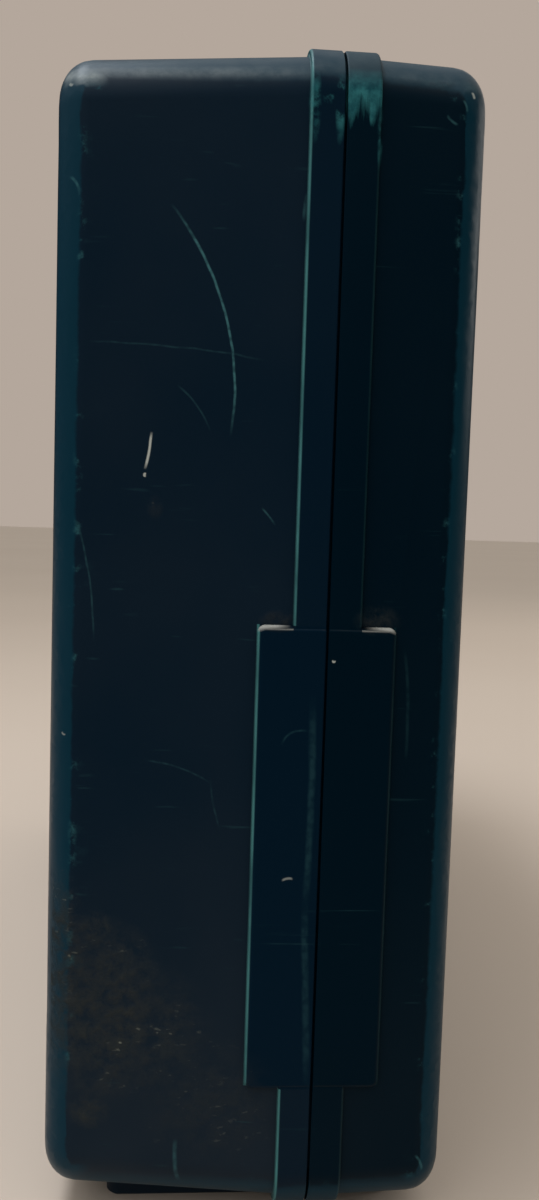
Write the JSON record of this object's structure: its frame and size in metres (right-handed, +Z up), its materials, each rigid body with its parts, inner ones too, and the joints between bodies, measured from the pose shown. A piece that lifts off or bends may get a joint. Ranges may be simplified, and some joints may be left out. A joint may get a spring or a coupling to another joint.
{
  "type": "toolbox with tray",
  "caption": "Moulded plastic clamshell tool case that stands on its hinge side, with a folding carry handle, snap latches and a lift-out compartment tray inside.",
  "frame": {"origin": "centre of the bounding box's footprint, on the surface the feet stand on", "axes": "+Z up with the case standing on its hinge side, +Y along the case's length, +X out through the lid, with the deep base on the -X side"},
  "size_m": [0.114, 0.3932, 0.3356],
  "materials": {
    "case": "in-mass coloured ABS, satin, finely textured in the mould",
    "black_plastic": "black polypropylene, satin, for the latches and the handle",
    "tray_plastic": "grey polypropylene, satin",
    "bin_plastic": "teal polypropylene, satin",
    "divider_plastic": "light grey polypropylene sheet",
    "steel": "zinc-plated steel",
    "label": "blank moulded plate, semi-gloss"
  },
  "bodies": {
    "base": {"base_shell": "case", "hinge_pin_left": "steel", "hinge_pin_right": "steel", "handle_pin_left": "steel", "handle_pin_right": "steel", "latch_pin_left": "steel", "latch_pin_right": "steel"},
    "lid": {"lid_shell": "case", "label_plate": "label"},
    "handle": {"carry_handle": "black_plastic"},
    "latch_left": {"latch_left": "black_plastic"},
    "latch_right": {"latch_right": "black_plastic"},
    "tray": {"tray": "tray_plastic", "tray_divider_1": "divider_plastic", "tray_divider_2": "divider_plastic", "tray_divider_3": "divider_plastic", "tray_divider_long": "divider_plastic", "parts_bin_left": "bin_plastic", "parts_bin_right": "bin_plastic"},
    "bail": {"tray_bail": "steel"}
  },
  "joints": [
    {"name": "lid_hinge", "type": "hinge", "parent": "base", "child": "lid", "pos_m": [0.018, 0, 0.0047], "axis": [0, 1, 0], "range_deg": [0, 110]},
    {"name": "latch_left_hinge", "type": "hinge", "parent": "base", "child": "latch_left", "pos_m": [0.005, -0.128, 0.3314], "axis": [0, -1, 0], "range_deg": [0, 100]},
    {"name": "latch_right_hinge", "type": "hinge", "parent": "base", "child": "latch_right", "pos_m": [0.005, 0.128, 0.3314], "axis": [0, -1, 0], "range_deg": [0, 100]},
    {"name": "handle_hinge", "type": "hinge", "parent": "base", "child": "handle", "pos_m": [0.001, 0, 0.3202], "axis": [0, 1, 0], "range_deg": [0, 90]},
    {"name": "tray_lift", "type": "slide", "parent": "base", "child": "tray", "axis": [1, 0, 0], "range_m": [0, 0.1225]},
    {"name": "bail_hinge", "type": "hinge", "parent": "tray", "child": "bail", "pos_m": [0.0125, 0, 0.1622], "axis": [0, -1, 0], "range_deg": [0, 180]}
  ],
  "couplings": [
    {"joint": "tray_lift", "follows": "lid_hinge", "m_per_rad": 0.0637}
  ]
}
